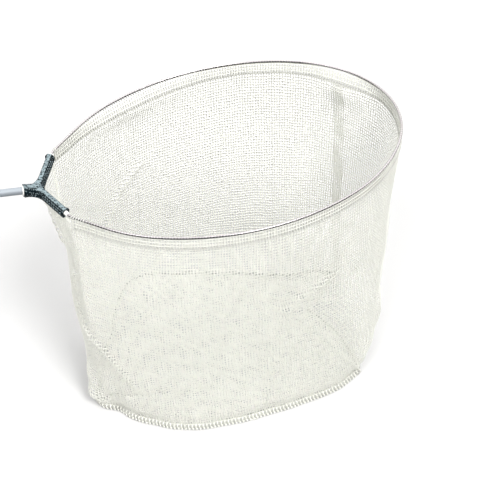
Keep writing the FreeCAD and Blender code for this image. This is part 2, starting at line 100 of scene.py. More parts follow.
class SkimmerColours(bpy.types.PropertyGroup):
    """Colours of the finishes."""

    netting: paint("Netting", "Knitted mesh", (0.88, 0.88, 0.815))
    stitching: paint("Stitching", "Sewing thread", (0.68, 0.68, 0.64))
    steel: paint("Hoop rod", "Polished steel", (0.205, 0.192, 0.197))
    yoke: paint("Yoke", "Moulded slate plastic", (0.005, 0.013, 0.017))
    # Paler colour of the yoke's upper faces: painted highlight with wear from rubbing.
    yoke_rubbed_and_highlit: paint("Yoke, rubbed", "Its rubbed upper faces and speckles", (0.24, 0.30, 0.32))
    white: paint("White plastic", "Ferrules and liner", (0.82, 0.82, 0.79))
    aluminium: paint("Tubes", "Satin anodised aluminium", (0.25, 0.275, 0.30))
    lock: paint("Lock and cap", "Black moulded plastic", (0.022, 0.026, 0.028))
    # The lock's paler colour on its upper faces: painted highlight with wear from rubbing.
    lock_rubbed_and_highlit: paint("Lock, rubbed", "Rubbed upper faces", (0.06, 0.066, 0.07))
    rubber: paint("Grip", "Matt rubber", (0.016, 0.017, 0.018))
    # The grip's paler colour on its upper faces: painted highlight with wear from rubbing.
    rubber_rubbed_and_highlit: paint("Grip, rubbed", "Rubbed upper faces", (0.04, 0.04, 0.042))
    screw: paint("Screws", "Zinc-plated steel", (0.52, 0.52, 0.53))
    floor: paint("Floor", "Studio floor", (0.58, 0.578, 0.576))
    # The floor's near side is painted dark where metal mirrors it: a painted reflection.
    floor_painted_reflection: paint("Floor in mirrors", "Its near side, as metal mirrors it",
                          (0.05, 0.055, 0.06))


def hoop_centre():
    """Middle of the hoop's axis, from the rod's own box."""
    low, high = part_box("hoop_rod")
    sizes = bpy.context.scene.skimmer_sizes
    return Vector((high.x - sizes.rod_width / 2 - sizes.hoop_length / 2, 0, (low.z + high.z) / 2))


def placed(points):
    """Points round the hoop's middle, moved to the part's own frame."""
    return points + np.array(hoop_centre())


def unit(vectors):
    """The same directions at length 1."""
    return vectors / np.maximum(np.linalg.norm(vectors, axis=-1, keepdims=True), 1e-12)


def rightward(steps):
    """Level directions to the right of steps in plan, which is outwards round the bag."""
    return unit(np.stack([steps[:, 1], -steps[:, 0], np.zeros(len(steps))], -1))


def run_along(points):
    """Length of the way from the first point to each."""
    return np.concatenate([[0], np.cumsum(np.linalg.norm(np.diff(points, axis=0), axis=1))])


def angle_from(middle_deg, t):
    """Angles from a place round the bag to t, between minus and plus half a turn."""
    return np.angle(np.exp(1j * (t - math.radians(middle_deg))))


def hill(away):
    """Smooth hill of height 1 over a distance given in half-widths."""
    return np.exp(-away ** 2)


def rounded(value, power):
    """Cosine or sine bent towards a rounded square."""
    return np.sign(value) * np.abs(value) ** power


# Angles in these values go round the bag from the hoop's tip, in degrees unless noted. Shares of
# the depth go from 0 at the rod to 1 at the foot.

STRAIGHT_END = math.pi - math.radians(37)  # radians, where the yoke's straight run meets the oval

# Swells of the wall: degrees round it, share of the depth, reach in metres, and
# the swell's half-width and half-height in the same units.
SWELLS = [
    (-165, 0.945, 0.019, 8, 0.045),
    (-168, 0.84, 0.009, 10, 0.07),
    (-152, 1.00, -0.011, 9, 0.10),
    (-88, 1.00, -0.006, 24, 0.12),
    (-38, 0.87, 0.014, 13, 0.06),
    (-20, 0.685, -0.011, 12, 0.025),
    (-14, 0.845, -0.008, 8, 0.022),
    (-12, 0.90, 0.006, 9, 0.03),
    (-17, 0.95, 0.016, 15, 0.14),
    (-12, 0.62, -0.010, 12, 0.10),
    (-20, 0.28, -0.005, 25, 0.16),
    (36, 0.070, -0.014, 13, 0.050),
    (62, 1.00, -0.044, 24, 0.26),
    (70, 0.50, -0.009, 95, 0.32),
    (116, 1.00, 0.030, 12, 0.18),
    (118, 0.055, -0.015, 24, 0.045),
    (152, 1.00, -0.050, 21, 0.24),
    (180, 0.12, 0.006, 14, 0.05),
    (180, 0.038, 0.018, 17, 0.055),
    (180, 0.36, -0.009, 20, 0.16),
    (184, 1.00, -0.012, 9, 0.08),
    (196, 0.95, 0.014, 9, 0.17),
    (226, 1.00, -0.016, 16, 0.20),
]

# Creases of the wall: bends as (degrees, share of the depth), height and half-width in metres.
CREASES = [
    ([(-169, 0.46), (-165, 0.52), (-150, 0.606), (-141, 0.70), (-138, 0.75)], 0.0088, 0.00575),
    ([(-164, 0.29), (-168, 0.34), (-171, 0.41)], 0.0072, 0.00575),
    ([(-162, 0.94), (-148, 0.86), (-134, 0.808), (-120, 0.753), (-108, 0.731)], -0.0064, 0.005175),
    ([(-82, 0.386), (-84, 0.56), (-86, 0.89)], 0.0080, 0.009775),
    ([(-81, 0.39), (-68, 0.594), (-58, 0.794), (-45, 0.975)], 0.0064, 0.0046),
    ([(-83, 0.386), (-72, 0.35), (-63, 0.319)], 0.00768, 0.006325),
    ([(114, 0.325), (126, 0.43), (132, 0.522)], -0.0064, 0.0069),
    ([(176, 0.06), (178, 0.12), (-176, 0.22)], 0.0080, 0.0069),
]

# Small unevenness of the wall: height in metres, seed, waves, most waves round it, most down it.
RIPPLES = [(0.0026, 3, 9, 11, 1.0), (0.0016, 5, 12, 34, 2.2)]
RIPPLE_DOWN = 9
HELD_BY_RIM = 9  # one over the share of the depth in which ripples grow to their full height
BOW = 0.006  # metres, the whole wall's outward bow
TAPER = 1.15  # above 1, the wall keeps the rim's outline longer before it takes the foot's
PINCH, PINCH_AT, PINCH_HALF = 0.007, 0.965, 0.022  # drawn in above the foot seam on the near side
PINCH_SIDE = 0.2  # sine of the angle where that side ends
FOOT_RISE, FOOT_RISE_AT, FOOT_RISE_HALF = 0.040, 135, 38  # the seam hangs higher here
TUCK_AT, TUCK_HALF, TUCK_FROM = -6, 0.66, 0.78  # degrees, radians, share of the depth
TUCK_REACH = np.array([-0.142, 0.062])  # metres in plan


def oval(long_way, short_way, blunt, square, t):
    """Points of an oval outline at the angles t from the tip."""
    c, s = np.cos(t), np.sin(t)
    x = long_way / 2 * c * (1 + square * s * s)
    y = short_way / 2 * s * (1 + square * c * c) * (1 + blunt * c)
    return np.stack([x, y], -1)


def rim_outline(sizes, t):
    """Outline under the rod, with the straighter run into the yoke's mouths."""
    p = oval(sizes.hoop_length, sizes.hoop_width, sizes.hoop_blunt, 0, t)
    join = oval(sizes.hoop_length, sizes.hoop_width, sizes.hoop_blunt, 0, STRAIGHT_END)
    mouth = np.array([sizes.mouth_inset - sizes.hoop_length / 2, sizes.mouth_side])
    out = np.abs(p[..., 1])
    straight = mouth[0] + (join[0] - mouth[0]) * (out - mouth[1]) / (join[1] - mouth[1])
    closing = mouth[0] - (sizes.hoop_length / 2 + mouth[0]) * (1 - (out / mouth[1]) ** 2)
    x = np.where(out > mouth[1], straight, closing)
    near_yoke = (p[..., 0] < 0) & (out < join[1])
    p[..., 0] = np.where(near_yoke, x, p[..., 0])
    return p


def turn_hill(t, middle_deg, half_deg):
    """Hill of height 1 round the bag."""
    return hill(angle_from(middle_deg, t) / math.radians(half_deg))


def waves(t, s, seed, count, around, along):
    """Soft uneven pattern that closes round the bag, about -1 to 1."""
    rng = np.random.default_rng(seed)
    total = np.zeros(np.broadcast(t, s).shape)
    for _ in range(count):
        k = rng.integers(1, around + 1)
        m = rng.uniform(-along, along)
        total += rng.uniform(0.5, 1) * np.sin(k * t + m * s + rng.uniform(0, math.tau))
    return total / math.sqrt(count)


def crease(sizes, t, s, bends, half_width):
    """Hill of height 1 along a bent line on the unrolled wall."""
    first = bends[0][0]
    radius = (sizes.hoop_length + sizes.hoop_width) / 4
    x, y = angle_from(first, t) * radius, s * sizes.bag_depth
    corners = [(angle_from(first, math.radians(around)) * radius, down * sizes.bag_depth)
               for around, down in bends]
    nearest = np.full(np.broadcast(x, y).shape, 1.0)
    for (x0, y0), (x1, y1) in zip(corners[:-1], corners[1:]):
        run = (x1 - x0) ** 2 + (y1 - y0) ** 2
        f = np.clip(((x - x0) * (x1 - x0) + (y - y0) * (y1 - y0)) / run, 0, 1)
        nearest = np.minimum(nearest, np.hypot(x - x0 - f * (x1 - x0), y - y0 - f * (y1 - y0)))
    return hill(nearest / half_width)


def foot_lift(t):
    """How far the foot seam hangs above the lowest point, round the bag."""
    return FOOT_RISE * turn_hill(t, FOOT_RISE_AT, FOOT_RISE_HALF)


def tuck(t, s):
    """The tip's end of the foot is folded inwards, most at its middle."""
    share = np.clip(1 - np.abs(angle_from(TUCK_AT, t)) / TUCK_HALF, 0, 1)
    down = np.clip((s - TUCK_FROM) / (1 - TUCK_FROM), 0, 1)
    return (share * down * down * (3 - 2 * down))[..., None] * TUCK_REACH


def wall_point(sizes, t, s):
    """Point of the wall: t round the bag, s from 0 at the rim to 1 at the foot."""
    rim = rim_outline(sizes, t)
    foot = oval(sizes.foot_length, sizes.foot_width, 0, sizes.foot_square, t)
    blend = (s ** TAPER)[..., None]
    plan = rim * (1 - blend) + foot * blend + tuck(t, s)
    out = unit(np.stack([np.cos(t) / sizes.hoop_length, np.sin(t) / sizes.hoop_width], -1))
    swell = BOW * np.sin(math.pi * s)
    for around, down, reach, wide, high in SWELLS:
        swell = swell + reach * turn_hill(t, around, wide) * hill((s - down) / high)
    for bends, high, wide in CREASES:
        swell = swell + high * crease(sizes, t, s, bends, wide)
    free = np.clip(s * HELD_BY_RIM, 0, 1)
    for high, seed, count, around, along in RIPPLES:
        swell = swell + high * waves(t, RIPPLE_DOWN * s, seed, count, around, along) * free
    swell = swell - PINCH * hill((s - PINCH_AT) / PINCH_HALF) * (np.sin(t) < PINCH_SIDE)
    swell = np.where(s <= 0, 0, swell)
    plan = plan + out * swell[..., None]
    z = -sizes.bag_depth * s + foot_lift(t) * s ** 3
    return np.concatenate([plan, z[..., None]], -1)


def normals_of(grid, closed):
    """Outward normals of a grid of points, first axis round the bag."""
    if closed:
        across = np.roll(grid, -1, 0) - np.roll(grid, 1, 0)
    else:
        across = np.gradient(grid, axis=0)
    return unit(np.cross(np.gradient(grid, axis=1), across))


def wall_sheet(sizes, t, depths):
    """Grid of wall points at the angles t and at depths in metres, with outward normals."""
    tt, ss = np.meshgrid(t, np.asarray(depths) / sizes.bag_depth, indexing="ij")
    grid = wall_point(sizes, tt, ss)
    return grid, normals_of(grid, closed=False)


def rim_run(sizes):
    """Close angles round the rim and the length run up to each."""
    t = np.linspace(0, math.tau, 4001)
    return t, run_along(rim_outline(sizes, t))


def rim_length(sizes):
    """Length of the whole rim."""
    return rim_run(sizes)[1][-1]


def even_turns(sizes, count):
    """Angles that divide the rim into equal lengths."""
    t, run = rim_run(sizes)
    return np.interp(np.arange(count) / count * run[-1], run, t)


def hem_turns(sizes):
    """Angles of the hem, from the near mouth round the tip to the far one, and those between."""
    t = np.sort(angle_from(0, even_turns(sizes, round(rim_length(sizes) / sizes.pitch))))
    rim = rim_outline(sizes, t)
    mouth_x = sizes.mouth_inset - sizes.hoop_length / 2
    beside, beyond = 0.001, 0.03
    hemmed = (np.abs(rim[:, 1]) > sizes.mouth_side + beside) | (rim[:, 0] > mouth_x + beyond)
    bare = t[~hemmed]
    return t[hemmed], np.concatenate([bare[bare > 0], bare[bare < 0] + math.tau])


class Weave:
    """Collects threads and makes one mesh of them."""

    def __init__(self):
        self.corners, self.quads, self.caps, self.count = [], [], [], 0

    def add(self, points, normals, width, deep):
        """Threads with a low ridge outside and a flat inside: points is (threads, steps, 3)."""
        side = unit(np.cross(np.gradient(points, axis=1), normals))
        wide = np.broadcast_to(np.asarray(width, float), points.shape[:2])[..., None] / 2
        corners = np.stack([points + side * wide - normals * deep / 3,
                            points + normals * deep * 2 / 3,
                            points - side * wide - normals * deep / 3], 2)
        index = np.arange(corners.size // 3).reshape(corners.shape[:3]) + self.count
        a, b = index[:, :-1], index[:, 1:]
        quads = np.stack([a, np.roll(a, -1, 2), np.roll(b, -1, 2), b], -1)
        self.corners.append(corners.reshape(-1, 3))
        self.quads.append(quads.reshape(-1, 4))
        self.caps += [index[:, 0, ::-1], index[:, -1]]
        self.count += corners.size // 3

    def add_cord(self, paths, radius, roughly_up=(0, 0, 1)):
        """Threads about as deep as they are wide, along paths of equal length."""
        along = np.gradient(paths, axis=1)
        side = unit(np.cross(along, np.broadcast_to(np.asarray(roughly_up, float), paths.shape)))
        self.add(paths, unit(np.cross(side, along)), 2 * radius, 2 * radius)

    def piece(self, name, material, slot):
        """Mesh object of all the threads."""
        return mesh_piece(name, np.concatenate(self.corners),
                          [np.concatenate(self.quads), np.concatenate(self.caps)], material)


def mesh_piece(name, corners, faces, material):
    """Mesh object that rides on the head, smooth on its quads; one array for each face size."""
    mesh = bpy.data.meshes.new(name)
    mesh.vertices.add(len(corners))
    mesh.vertices.foreach_set("co", np.asarray(corners, np.float32).ravel())
    used = np.concatenate([f.ravel() for f in faces])
    sides = np.concatenate([np.full(len(f), f.shape[1]) for f in faces])
    mesh.loops.add(len(used))
    mesh.loops.foreach_set("vertex_index", used.astype(np.int32))
    mesh.polygons.add(len(sides))
    starts = np.concatenate([[0], np.cumsum(sides)[:-1]])
    mesh.polygons.foreach_set("loop_start", starts.astype(np.int32))
    mesh.update(calc_edges=True)
    mesh.polygons.foreach_set("use_smooth", sides == 4)
    mesh.materials.append(material)
    piece = bpy.data.objects.new(name, mesh)
    bpy.context.scene.collection.objects.link(piece)
    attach(piece, HEAD)
    return piece


# The knit, as shares of the thread's width, the mesh's width or the thread's depth.
KNOT = 1.22
UPRIGHT_BETWEEN = 0.5
ROUND_BETWEEN = 0.8
THREAD_SPREAD = (0.72, 1.28)
ROUND_SLANT = 0.12
LAYER = 0.3


def halved(grid):
    """Grid with a point added halfway between each two along its second axis."""
    fine = np.repeat(grid, 2, axis=1)[:, :-1]
    fine[:, 1::2] = (grid[:, 1:] + grid[:, :-1]) / 2
    return fine


def knit(weave, sizes, grid, normals, last_upright=True, first=0, seed=0, thread=None):
    """Uprights and slanting rounds of thread, thick where they are knotted together."""
    rng = np.random.default_rng(seed)
    thread = thread or sizes.thread
    deep = sizes.thread_deep

    def widths(shape, between):
        wide = np.full(shape, between * thread)
        wide[:, ::2] = KNOT * thread
        return wide * rng.uniform(*THREAD_SPREAD, shape)

    chain = halved(grid if last_upright else grid[:-1])
    facing = halved(normals if last_upright else normals[:-1])
    weave.add(chain + facing * deep * LAYER, facing,
              widths(chain.shape[:2], UPRIGHT_BETWEEN), deep)
    lines, facing = grid.swapaxes(0, 1), halved(normals.swapaxes(0, 1))
    sense = (-1.0) ** np.add.outer(np.arange(len(lines)), np.arange(len(grid)) + first)
    slant = ROUND_SLANT * sizes.pitch * sense
    rounds = halved(lines + unit(np.gradient(lines, axis=0)) * slant[..., None])
    weave.add(rounds - facing * deep * LAYER, facing,
              widths(rounds.shape[:2], ROUND_BETWEEN), deep)


def add_node(nodes, kind, values=(), **traits):
    """New node with its traits and with values on its inputs."""
    node = nodes.new(kind)
    for trait, value in traits.items():
        setattr(node, trait, value)
    for socket, value in dict(values).items():
        node.inputs[socket].default_value = value
    return node


def new_group(name, inputs, outputs):
    """Shader node group with its sockets, and its first and last node."""
    group = bpy.data.node_groups.new(name, "ShaderNodeTree")
    for label, kind, value in inputs:
        socket = group.interface.new_socket(name=label, in_out="INPUT",
                                            socket_type="NodeSocket" + kind)
        if value is not None:
            socket.default_value = value
    for label, kind in outputs:
        group.interface.new_socket(name=label, in_out="OUTPUT", socket_type="NodeSocket" + kind)
    return group, group.nodes.new("NodeGroupInput"), group.nodes.new("NodeGroupOutput")


def grain_group():
    """Shared grain: mottle, roughness and height from noise stretched along an axis."""
    found = bpy.data.node_groups.get("Surface Grain")
    if found:
        return found
    group, start, end = new_group(
        "Surface Grain",
        [("Vector", "Vector", None), ("Colour", "Color", (0.5, 0.5, 0.5, 1)),
         ("Stretch", "Vector", (1, 1, 1)), ("Coarse Scale", "Float", 40.0),
         ("Fine Scale", "Float", 900.0), ("Mottle", "Float", 0.1),
         ("Roughness", "Float", 0.5), ("Roughness Spread", "Float", 0.1)],
        [("Colour", "Color"), ("Roughness", "Float"), ("Height", "Float")])
    nodes, links = group.nodes, group.links
    stretch = add_node(nodes, "ShaderNodeVectorMath", operation="MULTIPLY")
    coarse = add_node(nodes, "ShaderNodeTexNoise", {"Detail": 3})
    fine = add_node(nodes, "ShaderNodeTexNoise", {"Detail": 2})
    shade = add_node(nodes, "ShaderNodeMapRange", {"To Min": 1})
    less = add_node(nodes, "ShaderNodeMath", {0: 1}, operation="SUBTRACT")
    tint = add_node(nodes, "ShaderNodeVectorMath", operation="SCALE")
    spread = add_node(nodes, "ShaderNodeMath", operation="MULTIPLY_ADD")
    links.new(start.outputs["Vector"], stretch.inputs[0])
    links.new(start.outputs["Stretch"], stretch.inputs[1])
    for noise, scale in ((coarse, "Coarse Scale"), (fine, "Fine Scale")):
        links.new(stretch.outputs[0], noise.inputs["Vector"])
        links.new(start.outputs[scale], noise.inputs["Scale"])
    links.new(start.outputs["Mottle"], less.inputs[1])
    links.new(coarse.outputs["Fac"], shade.inputs["Value"])
    links.new(less.outputs[0], shade.inputs["To Max"])
    links.new(start.outputs["Colour"], tint.inputs[0])
    links.new(shade.outputs[0], tint.inputs["Scale"])
    links.new(tint.outputs[0], end.inputs["Colour"])
    links.new(fine.outputs["Fac"], spread.inputs[0])
    links.new(start.outputs["Roughness Spread"], spread.inputs[1])
    links.new(start.outputs["Roughness"], spread.inputs[2])
    links.new(spread.outputs[0], end.inputs["Roughness"])
    links.new(fine.outputs["Fac"], end.inputs["Height"])
    return group


def rub_and_highlight_group():
    """Shared wear from rubbing and painted highlight: patches of another colour on faces that point
    up, and small speckles.
    """
    found = bpy.data.node_groups.get("Rubbed and Highlit Faces")
    if found:
        return found
    group, start, end = new_group(
        "Rubbed and Highlit Faces",
        [("Vector", "Vector", None), ("Colour", "Color", (0.5, 0.5, 0.5, 1)),
         ("Rubbed and Highlight Colour", "Color", (0.7, 0.7, 0.7, 1)), ("Patch Scale", "Float", 250.0),
         ("Speckle", "Float", 0.0)],
        [("Colour", "Color")])
    nodes, links = group.nodes, group.links
    shape = nodes.new("ShaderNodeNewGeometry")
    split = nodes.new("ShaderNodeSeparateXYZ")
    # Faces that point up take the paler colour: painted highlight along with wear from rubbing.
    facing = add_node(nodes, "ShaderNodeMapRange", {"From Min": 0.80, "From Max": 0.985},
                      interpolation_type="SMOOTHSTEP")
    patch = add_node(nodes, "ShaderNodeTexNoise", {"Detail": 4})
    patchy = add_node(nodes, "ShaderNodeMapRange", {"From Min": 0.38, "From Max": 0.54})
    mask = add_node(nodes, "ShaderNodeMath", operation="MULTIPLY")
    dots = add_node(nodes, "ShaderNodeTexVoronoi", {"Scale": 300.0})
    small = add_node(nodes, "ShaderNodeMapRange", {"From Min": 0.34, "From Max": 0.24})
    speckle = add_node(nodes, "ShaderNodeMath", operation="MULTIPLY")
    both = add_node(nodes, "ShaderNodeMath", operation="MAXIMUM")
    mix = add_node(nodes, "ShaderNodeMix", data_type="RGBA")
    links.new(start.outputs["Vector"], dots.inputs["Vector"])
    links.new(dots.outputs["Distance"], small.inputs["Value"])
    links.new(small.outputs[0], speckle.inputs[0])
    links.new(start.outputs["Speckle"], speckle.inputs[1])
    links.new(shape.outputs["Normal"], split.inputs[0])
    links.new(split.outputs["Z"], facing.inputs["Value"])
    links.new(start.outputs["Vector"], patch.inputs["Vector"])
    links.new(start.outputs["Patch Scale"], patch.inputs["Scale"])
    links.new(patch.outputs["Fac"], patchy.inputs["Value"])
    links.new(facing.outputs[0], mask.inputs[0])
    links.new(patchy.outputs[0], mask.inputs[1])
    links.new(mask.outputs[0], both.inputs[0])
    links.new(speckle.outputs[0], both.inputs[1])
    links.new(both.outputs[0], mix.inputs["Factor"])
    links.new(start.outputs["Colour"], mix.inputs[6])
    links.new(start.outputs["Rubbed and Highlight Colour"], mix.inputs[7])
    links.new(mix.outputs[2], end.inputs["Colour"])
    return group


def finish(name, colour, roughness, metallic=0.0, mottle=0.08, spread=0.1, coarse=40.0,
           fine=900.0, stretch=(1, 1, 1), relief=0.0, rub_and_highlight=None, speckle=0.0, coat=0.0,
           sheen=0.0, gloss=0.5):
    """Material for one finish, with grain and, where asked, upper faces paler with wear from
    rubbing and painted highlight.
    """
    found = bpy.data.materials.get(name + "_finish")
    if found:
        return found
    material = bpy.data.materials.new(name + "_finish")
    material.use_nodes = True
    nodes, links = material.node_tree.nodes, material.node_tree.links
    shader = nodes["Principled BSDF"]
    place = nodes.new("ShaderNodeTexCoord")
    grain = add_node(nodes, "ShaderNodeGroup", node_tree=grain_group())
    for socket, value in (("Colour", (*colour, 1)), ("Stretch", stretch),
                          ("Coarse Scale", coarse), ("Fine Scale", fine), ("Mottle", mottle),
                          ("Roughness", roughness), ("Roughness Spread", spread)):
        grain.inputs[socket].default_value = value
    links.new(place.outputs["Object"], grain.inputs["Vector"])
    surface = grain.outputs["Colour"]
    # Upper faces get painted highlight along with wear from rubbing.
    if rub_and_highlight is not None:
        rubbed_and_highlit = add_node(nodes, "ShaderNodeGroup", node_tree=rub_and_highlight_group())
        rubbed_and_highlit.inputs["Rubbed and Highlight Colour"].default_value = (*rub_and_highlight, 1)
        rubbed_and_highlit.inputs["Speckle"].default_value = speckle
        links.new(place.outputs["Object"], rubbed_and_highlit.inputs["Vector"])
        links.new(surface, rubbed_and_highlit.inputs["Colour"])
        surface = rubbed_and_highlit.outputs["Colour"]
    links.new(surface, shader.inputs["Base Color"])
    links.new(grain.outputs["Roughness"], shader.inputs["Roughness"])
    if relief:
        rough = add_node(nodes, "ShaderNodeBump", {"Strength": 1, "Distance": relief})
        links.new(grain.outputs["Height"], rough.inputs["Height"])
        links.new(rough.outputs["Normal"], shader.inputs["Normal"])
    shader.inputs["Metallic"].default_value = metallic
    shader.inputs["Coat Weight"].default_value = coat
    shader.inputs["Sheen Weight"].default_value = sheen
    shader.inputs["Specular IOR Level"].default_value = gloss
    return material


def thread_finish():
    """Knitted mesh thread: soft, matt polyester."""
    colours = bpy.context.scene.skimmer_colours
    return finish("netting", colours.netting, 0.72, mottle=0.10, spread=0.15, coarse=22.0,
                  fine=2600.0, relief=0.00025, sheen=0.15)


def shaded_gather_finish():
    """Netting gathered tight in the seam, duller than the open mesh, its colour darkened as painted
    shade.
    """
    # The darker colour is painted shade among the gathers.
    shaded_netting = [0.62 * part for part in bpy.context.scene.skimmer_colours.netting]
    return finish("gathered_netting_painted_shade", shaded_netting, 0.8, mottle=0.25, spread=0.12, coarse=420.0,
                  fine=1900.0, relief=0.0004, sheen=0.1)


def stitch_finish():
    """Twisted sewing thread."""
    colours = bpy.context.scene.skimmer_colours
    return finish("stitching", colours.stitching, 0.6, mottle=0.08, coarse=60.0, fine=3200.0,
                  relief=0.0002, sheen=0.1)


def dress(node, material):
    """Gives a carried-over node its finish."""
    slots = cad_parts[node].data.materials
    slots.clear()
    slots.append(material)


class SKIMMER_OT_yoke(bpy.types.Operator):
    """Finish of the moulded yoke, speckled, and paler on its upper faces with wear from rubbing and
    painted highlight
    """

    bl_idname = "skimmer.yoke"
    bl_label = "Yoke"

    def execute(self, context):
        colours = context.scene.skimmer_colours
        # Its upper faces are painted paler: painted highlight with wear from rubbing.
        dress("yoke", finish("yoke_plastic", colours.yoke, 0.24, mottle=0.7, spread=0.2,
                             coarse=330.0, fine=900.0, relief=0.0003, gloss=0.06,
                             rub_and_highlight=colours.yoke_rubbed_and_highlit, speckle=0.8))
        return {"FINISHED"}


class SKIMMER_OT_small_parts(bpy.types.Operator):
    """Finishes of the ferrules, the socket's liner, the glide plug and the screws"""

    bl_idname = "skimmer.small_parts"
    bl_label = "Ferrules, Liner and Screws"

    def execute(self, context):
        colours = context.scene.skimmer_colours
        white = finish("white_plastic", colours.white, 0.28, mottle=0.06, coarse=120.0,
                       fine=1800.0, relief=0.00006, coat=0.2)
        for node in ("far_ferrule", "near_ferrule", "socket_liner", "glide_plug"):
            dress(node, white)
        zinc = finish("screw_steel", colours.screw, 0.34, metallic=1.0, mottle=0.18, coarse=300.0,
                      fine=2400.0, relief=0.00005)
        for node in ("hoop_screws", "pole_screw"):
            dress(node, zinc)
        return {"FINISHED"}


class SKIMMER_OT_rod(bpy.types.Operator):
    """Finish of the hoop's polished rod"""

    bl_idname = "skimmer.rod"
    bl_label = "Hoop Rod"

    def execute(self, context):
        colours = context.scene.skimmer_colours
        dress("hoop_rod", finish("polished_steel", colours.steel, 0.14, metallic=1.0, mottle=0.12,
                                 spread=0.12, coarse=60.0, fine=1600.0, relief=0.00003))
        return {"FINISHED"}


class SKIMMER_OT_pole(bpy.types.Operator):
    """Finishes of the tubes, the twist lock, the grip and the end cap"""

    bl_idname = "skimmer.pole"
    bl_label = "Pole, Lock and Grip"

    def execute(self, context):
        colours = context.scene.skimmer_colours
        drawn = (0.06, 1.0, 1.0)
        tube = finish("pole_aluminium", colours.aluminium, 0.50, metallic=0.2, mottle=0.10,
                      spread=0.14, coarse=260.0, fine=2200.0, stretch=drawn, relief=0.00005)
        for node in ("inner_tube", "outer_tube"):
            dress(node, tube)
        # The lock and the grip get upper faces painted paler: painted highlight with wear from
        # rubbing.
        lock = finish("lock_plastic", colours.lock, 0.42, mottle=0.2, spread=0.15, coarse=90.0,
                      fine=1700.0, relief=0.00012, rub_and_highlight=colours.lock_rubbed_and_highlit, gloss=0.12)
        for node in ("lock_collar", "lock_collet", "end_cap"):
            dress(node, lock)
        dress("hand_grip", finish("grip_rubber", colours.rubber, 0.78, mottle=0.3, spread=0.12,
                                  coarse=70.0, fine=1300.0, relief=0.0003,
                                  rub_and_highlight=colours.rubber_rubbed_and_highlit, gloss=0.1))
        return {"FINISHED"}


# How far the wall's knots stray from an even grid, as shares of the mesh's width and height, and
# how much of it differs from knot to knot.
STRAY_ACROSS = 0.10
STRAY_DOWN = 0.12
STRAY_SINGLE = 1.2
STRAY_WAVES = 60
STRAY_FADE = 12  # one over the share of the wall, at each end, in which the straying fades
STRAY_COUNT, STRAY_ALONG = 12, 1.0  # waves, and the most along the wall's height
STRAY_MOST = (40, 60)  # most waves round the bag, for the stray across and the stray down


def wall_grid(sizes, columns, rows):
    """Points of the wall's mesh, from the hem's lower edge to the foot seam."""
    low = 1 - sizes.seam_height / sizes.bag_depth
    s = np.linspace(sizes.hem_depth / sizes.bag_depth, low, rows)
    tt, ss = np.meshgrid(even_turns(sizes, columns), s, indexing="ij")
    across = STRAY_ACROSS * sizes.pitch / rim_length(sizes) * math.tau
    down = STRAY_DOWN * sizes.pitch_down / sizes.bag_depth
    rng = np.random.default_rng(sizes.seed)
    inside = np.minimum(1, STRAY_FADE * np.minimum(ss - s[0], s[-1] - ss) / (s[-1] - s[0]))

    def uneven(seed, around):
        return (waves(tt, STRAY_WAVES * ss, seed, STRAY_COUNT, around, STRAY_ALONG)
                + rng.uniform(-STRAY_SINGLE, STRAY_SINGLE, tt.shape))

    stray_across, stray_down = (uneven(sizes.seed + i, most) for i, most in enumerate(STRAY_MOST))
    return wall_point(sizes, tt + across * stray_across * inside, ss + down * stray_down * inside)


class SKIMMER_OT_wall(bpy.types.Operator):
    """Netting of the bag's wall, thread by thread, in six panels, and the part under the yoke"""

    bl_idname = "skimmer.wall"
    bl_label = "Bag Wall"

    def execute(self, context):
        sizes = context.scene.skimmer_sizes
        perimeter = rim_length(sizes)
        columns = WALL_PANELS * round(perimeter / sizes.pitch / WALL_PANELS)
        rows = round((sizes.bag_depth - sizes.hem_depth - sizes.seam_height) / sizes.pitch_down)
        grid = wall_grid(sizes, columns, rows)
        normals = normals_of(grid, closed=True)
        grid = placed(grid)
        part = columns // WALL_PANELS
        for i in range(WALL_PANELS):
            weave = Weave()
            own = np.arange(i * part, (i + 1) * part + 1)
            knit(weave, sizes, np.take(grid, own, 0, mode="wrap"),
                 np.take(normals, own, 0, mode="wrap"), last_upright=False, first=i * part,
                 seed=sizes.seed + i)
            piece = weave.piece("net_wall_" + str(i + 1), thread_finish(), "netting")
            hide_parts("net_wall")
        self.throat(sizes)
        return {"FINISHED"}

    def throat(self, sizes):
        """Netting between the hem's ends, up to the underside of the yoke."""
        bare = hem_turns(sizes)[1]
        grid, normals = wall_sheet(sizes, bare, np.linspace(sizes.throat_top, sizes.hem_depth, 5))
        weave = Weave()
        knit(weave, sizes, placed(grid), normals, seed=sizes.seed + 40)
        piece = weave.piece("net_throat", thread_finish(), "netting")
        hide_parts("net_wall")


# The hem and its stitching, in metres unless said otherwise.
HEM_TOP = 0.0045  # below the rod's middle
HEM_GAP = 0.0013  # from the wall's surface to each layer
HEM_THREAD = 0.9  # share of the thread's width, for the hem's rounds
LOOP_THREAD, LOOP_DEEP = 0.85, 0.8  # shares of the thread's width and depth, for its uprights
LOOP_BELOW = 0.9  # radians that a loop over the rod reaches below its middle
LOOP_STEPS = 9
LOOP_CLEAR, LOOP_WIDTH = 0.0005, 0.0006
STITCH_ROWS = (0.0062, 0.0030)  # above the hem's lower edge
STITCH_STEPS = np.linspace(-0.0021, 0.0021, 5)
STITCH_HEIGHTS = 0.0018 + np.array([0.0, 0.0007, 0.0009, 0.0007, 0.0])
STITCH_RADIUS = 0.00055
WHIPPING_PITCH, WHIPPING_LEAD, WHIPPING_CLEAR = 0.0054, 0.004, 0.0007
WHIPPING_STEPS = 10  # for each turn
WHIPPING_UNEVEN, WHIPPING_BEAT = 0.0004, 3.1
WHIPPING_WIDE, WHIPPING_DEEP = 0.0025, 0.0014


